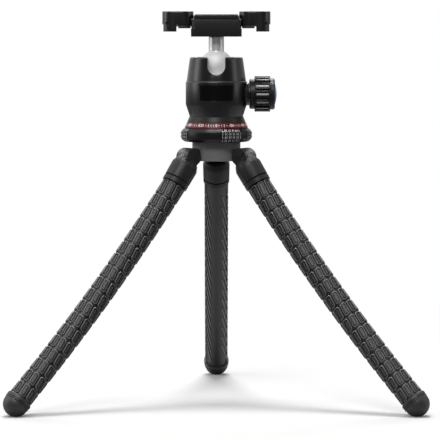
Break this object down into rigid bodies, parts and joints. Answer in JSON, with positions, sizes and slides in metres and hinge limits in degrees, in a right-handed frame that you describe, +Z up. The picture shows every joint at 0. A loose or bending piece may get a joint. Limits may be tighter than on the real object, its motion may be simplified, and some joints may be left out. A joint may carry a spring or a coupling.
{
  "type": "flexible leg tripod",
  "caption": "Table tripod with three bendable rubber-clad legs, a panning ball head with a side lock knob and a fold-flat phone clamp.",
  "frame": {"origin": "on the floor, at the middle of the box around the three feet", "axes": "+Z up, -Y the front with the drop slot, +X the side of the lock knob"},
  "size_m": [0.3054, 0.267, 0.2892],
  "materials": {
    "black_anodised": "satin black anodised",
    "hub_grey": "dark grey satin",
    "pan_grey": "grey satin",
    "red_anodised": "deep red satin",
    "steel": "brushed",
    "ball_metal": "bead blasted ball, polished stem",
    "nylon": "matt",
    "brass": "turned",
    "black_plastic": "matt",
    "white_inlay": "smooth",
    "blue_anodised": "anodised, bright",
    "rubber": "matt with a soft sheen",
    "core_metal": "turned"
  },
  "bodies": {
    "hub": {"hub": "hub_grey", "leg_hinge_pins": "black_anodised", "centre_bolt": "steel", "pan_nut": "steel", "red_band": "red_anodised", "pan_base": "pan_grey"},
    "ring": {"knurled_ring": "black_anodised"},
    "head": {"head_body": "black_anodised", "front_badge": "black_plastic", "ball_cap": "black_anodised", "seat_ring": "nylon"},
    "brake": {"brake_shoe": "brass"},
    "knob": {"knob": "black_plastic", "knob_inlays": "white_inlay", "knob_end_cap": "blue_anodised", "knob_shaft": "steel"},
    "ball": {"ball_stem": "ball_metal"},
    "platform": {"clamp_housing": "black_anodised", "clamp_cover": "black_anodised", "platform_mat": "rubber", "cover_screws": "steel"},
    "camera_screw": {"camera_screw": "steel"},
    "left_arm": {"left_arm": "steel", "jaw_pin_left": "black_anodised"},
    "right_arm": {"right_arm": "steel", "jaw_pin_right": "black_anodised"},
    "left_jaw": {"left_jaw": "black_anodised", "left_jaw_pads": "rubber"},
    "right_jaw": {"right_jaw": "black_anodised", "right_jaw_pads": "rubber"},
    "front_left_collar": {"front_left_collar": "black_plastic"},
    "front_left_link_1": {"front_left_core_1": "core_metal", "front_left_sleeve_1": "rubber"},
    "front_left_link_2": {"front_left_core_2": "core_metal", "front_left_sleeve_2": "rubber"},
    "front_left_link_3": {"front_left_core_3": "core_metal", "front_left_sleeve_3": "rubber"},
    "front_left_link_4": {"front_left_core_4": "core_metal", "front_left_sleeve_4": "rubber", "front_left_foot": "rubber"},
    "front_right_collar": {"front_right_collar": "black_plastic"},
    "front_right_link_1": {"front_right_core_1": "core_metal", "front_right_sleeve_1": "rubber"},
    "front_right_link_2": {"front_right_core_2": "core_metal", "front_right_sleeve_2": "rubber"},
    "front_right_link_3": {"front_right_core_3": "core_metal", "front_right_sleeve_3": "rubber"},
    "front_right_link_4": {"front_right_core_4": "core_metal", "front_right_sleeve_4": "rubber", "front_right_foot": "rubber"},
    "back_collar": {"back_collar": "black_plastic"},
    "back_link_1": {"back_core_1": "core_metal", "back_sleeve_1": "rubber"},
    "back_link_2": {"back_core_2": "core_metal", "back_sleeve_2": "rubber"},
    "back_link_3": {"back_core_3": "core_metal", "back_sleeve_3": "rubber"},
    "back_link_4": {"back_core_4": "core_metal", "back_sleeve_4": "rubber", "back_foot": "rubber"}
  },
  "joints": [
    {"name": "head_pan", "type": "hinge", "parent": "hub", "child": "head", "pos_m": [0, -0.04136, 0.2119], "axis": [0, 0, 1], "continuous": true},
    {"name": "ring_turn", "type": "hinge", "parent": "hub", "child": "ring", "pos_m": [0, -0.04136, 0.193], "axis": [0, 0, 1], "range_deg": [0, 90]},
    {"name": "knob_turn", "type": "hinge", "parent": "head", "child": "knob", "pos_m": [0.0241, -0.04136, 0.2283], "axis": [-1, 0, 0], "range_deg": [0, 180]},
    {"name": "brake_lift", "type": "slide", "parent": "head", "child": "brake", "axis": [0, 0, 1], "range_m": [0, 0.00035]},
    {"name": "ball_tilt", "type": "hinge", "parent": "head", "child": "ball", "pos_m": [0, -0.04136, 0.249], "axis": [1, 0, 0], "range_deg": [-28, 85]},
    {"name": "platform_turn", "type": "hinge", "parent": "ball", "child": "platform", "pos_m": [0, -0.04136, 0.2705], "axis": [0, 0, 1], "continuous": true},
    {"name": "camera_screw_rise", "type": "slide", "parent": "platform", "child": "camera_screw", "axis": [0, 0, 1], "range_m": [0, 0.0052]},
    {"name": "left_arm_slide", "type": "slide", "parent": "platform", "child": "left_arm", "axis": [-1, 0, 0], "range_m": [0, 0.012]},
    {"name": "right_arm_slide", "type": "slide", "parent": "platform", "child": "right_arm", "axis": [1, 0, 0], "range_m": [0, 0.012]},
    {"name": "left_jaw_flip", "type": "hinge", "parent": "left_arm", "child": "left_jaw", "pos_m": [-0.0362, -0.04136, 0.2804], "axis": [0, -1, 0], "range_deg": [0, 90]},
    {"name": "right_jaw_flip", "type": "hinge", "parent": "right_arm", "child": "right_jaw", "pos_m": [0.0362, -0.04136, 0.2804], "axis": [0, 1, 0], "range_deg": [0, 90]},
    {"name": "front_left_fold", "type": "hinge", "parent": "hub", "child": "front_left_collar", "pos_m": [-0.01949, -0.05261, 0.1818], "axis": [0.5, -0.866, 0], "range_deg": [0, 34]},
    {"name": "front_left_bend_1", "type": "hinge", "parent": "front_left_collar", "child": "front_left_link_1", "pos_m": [-0.03208, -0.05988, 0.16024], "axis": [-0.6871, -0.3967, 0.6088], "range_deg": [-28, 28]},
    {"name": "front_left_bend_2", "type": "hinge", "parent": "front_left_link_1", "child": "front_left_link_2", "pos_m": [-0.05762, -0.07463, 0.1218], "axis": [-0.5, 0.866, 0], "range_deg": [-28, 28]},
    {"name": "front_left_bend_3", "type": "hinge", "parent": "front_left_link_2", "child": "front_left_link_3", "pos_m": [-0.08421, -0.08998, 0.08433], "axis": [-0.652, -0.3764, 0.6582], "range_deg": [-28, 28]},
    {"name": "front_left_bend_4", "type": "hinge", "parent": "front_left_link_3", "child": "front_left_link_4", "pos_m": [-0.11183, -0.10592, 0.04785], "axis": [-0.5, 0.866, 0], "range_deg": [-28, 28]},
    {"name": "front_right_fold", "type": "hinge", "parent": "hub", "child": "front_right_collar", "pos_m": [0.01949, -0.05261, 0.1818], "axis": [0.5, 0.866, 0], "range_deg": [0, 34]},
    {"name": "front_right_bend_1", "type": "hinge", "parent": "front_right_collar", "child": "front_right_link_1", "pos_m": [0.03208, -0.05988, 0.16024], "axis": [0.6871, -0.3967, 0.6088], "range_deg": [-28, 28]},
    {"name": "front_right_bend_2", "type": "hinge", "parent": "front_right_link_1", "child": "front_right_link_2", "pos_m": [0.05762, -0.07463, 0.1218], "axis": [-0.5, -0.866, 0], "range_deg": [-28, 28]},
    {"name": "front_right_bend_3", "type": "hinge", "parent": "front_right_link_2", "child": "front_right_link_3", "pos_m": [0.08421, -0.08998, 0.08433], "axis": [0.652, -0.3764, 0.6582], "range_deg": [-28, 28]},
    {"name": "front_right_bend_4", "type": "hinge", "parent": "front_right_link_3", "child": "front_right_link_4", "pos_m": [0.11183, -0.10592, 0.04785], "axis": [-0.5, -0.866, 0], "range_deg": [-28, 28]},
    {"name": "back_fold", "type": "hinge", "parent": "hub", "child": "back_collar", "pos_m": [0, -0.01886, 0.1818], "axis": [-1, 0, 0], "range_deg": [0, 34]},
    {"name": "back_bend_1", "type": "hinge", "parent": "back_collar", "child": "back_link_1", "pos_m": [0, -0.00432, 0.16024], "axis": [0, 0.7934, 0.6088], "range_deg": [-28, 28]},
    {"name": "back_bend_2", "type": "hinge", "parent": "back_link_1", "child": "back_link_2", "pos_m": [0, 0.02517, 0.1218], "axis": [1, 0, 0], "range_deg": [-28, 28]},
    {"name": "back_bend_3", "type": "hinge", "parent": "back_link_2", "child": "back_link_3", "pos_m": [0, 0.05588, 0.08433], "axis": [0, 0.7529, 0.6582], "range_deg": [-28, 28]},
    {"name": "back_bend_4", "type": "hinge", "parent": "back_link_3", "child": "back_link_4", "pos_m": [0, 0.08777, 0.04785], "axis": [1, 0, 0], "range_deg": [-28, 28]}
  ]
}
